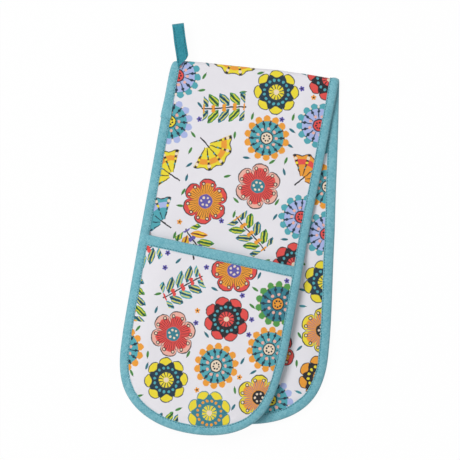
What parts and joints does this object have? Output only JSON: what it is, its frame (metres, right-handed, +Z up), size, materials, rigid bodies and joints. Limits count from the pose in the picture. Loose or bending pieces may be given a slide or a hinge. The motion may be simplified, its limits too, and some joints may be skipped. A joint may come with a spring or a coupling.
{
  "type": "double oven glove",
  "caption": "Double oven glove: a padded cotton strip with a pocket mitt at each rounded end, teal edge binding and a hanging loop, folded at its middle and lying flat.",
  "frame": {"origin": "centre of the folded glove's footprint, on the surface that it lies on", "axes": "+X along the fold, +Y from the mitts towards the fold and the hanging loop, +Z up, out of the surface"},
  "size_m": [0.2374, 0.4606, 0.0316],
  "materials": {
    "printed_cotton": "printed woven cotton, matt",
    "pocket_lining": "plain woven cotton, matt",
    "wadding": "soft cotton wadding",
    "teal_binding": "teal cotton bias tape, matt",
    "teal_loop_tape": "dark teal cotton tape, matt"
  },
  "bodies": {
    "back_half": {"back_edge_binding": "teal_binding", "back_inner_face": "printed_cotton", "back_outer_face": "printed_cotton", "back_pocket_lining": "pocket_lining", "back_pocket_mouth_binding": "teal_binding", "back_pocket_outer_panel": "printed_cotton", "back_pocket_wadding": "wadding", "back_wadding": "wadding"},
    "fold": {"fold_inner_face": "printed_cotton", "fold_left_binding": "teal_binding", "fold_outer_face": "printed_cotton", "fold_right_binding": "teal_binding", "fold_wadding": "wadding"},
    "front_middle": {"front_middle_inner_face": "printed_cotton", "front_middle_left_binding": "teal_binding", "front_middle_outer_face": "printed_cotton", "front_middle_right_binding": "teal_binding", "front_middle_wadding": "wadding"},
    "front_mitt": {"front_mitt_edge_binding": "teal_binding", "front_mitt_inner_face": "printed_cotton", "front_mitt_outer_face": "printed_cotton", "front_mitt_wadding": "wadding", "front_pocket_lining": "pocket_lining", "front_pocket_mouth_binding": "teal_binding", "front_pocket_outer_panel": "printed_cotton", "front_pocket_wadding": "wadding"},
    "hanging_loop": {"hanging_loop": "teal_loop_tape"}
  },
  "joints": [
    {"name": "fold_lower", "type": "hinge", "parent": "back_half", "child": "fold", "pos_m": [0.00056, 0.18726, 0.0018], "axis": [-1, 0, 0], "range_deg": [0, 87]},
    {"name": "fold_upper", "type": "hinge", "parent": "fold", "child": "front_middle", "pos_m": [0.00056, 0.18726, 0.0105], "axis": [-1, 0, 0], "range_deg": [0, 87]},
    {"name": "front_wrist", "type": "hinge", "parent": "front_middle", "child": "front_mitt", "pos_m": [-0.01463, 0.00041, 0.02195], "axis": [0.9974, -0.0715, 0], "range_deg": [-120, 0]},
    {"name": "loop_swing", "type": "hinge", "parent": "front_middle", "child": "hanging_loop", "pos_m": [-0.08013, 0.17691, 0.01433], "axis": [0.9711, 0.2385, 0], "range_deg": [0, 150]}
  ],
  "couplings": [
    {"joint": "fold_lower", "follows": "fold_upper", "ratio": 1}
  ]
}
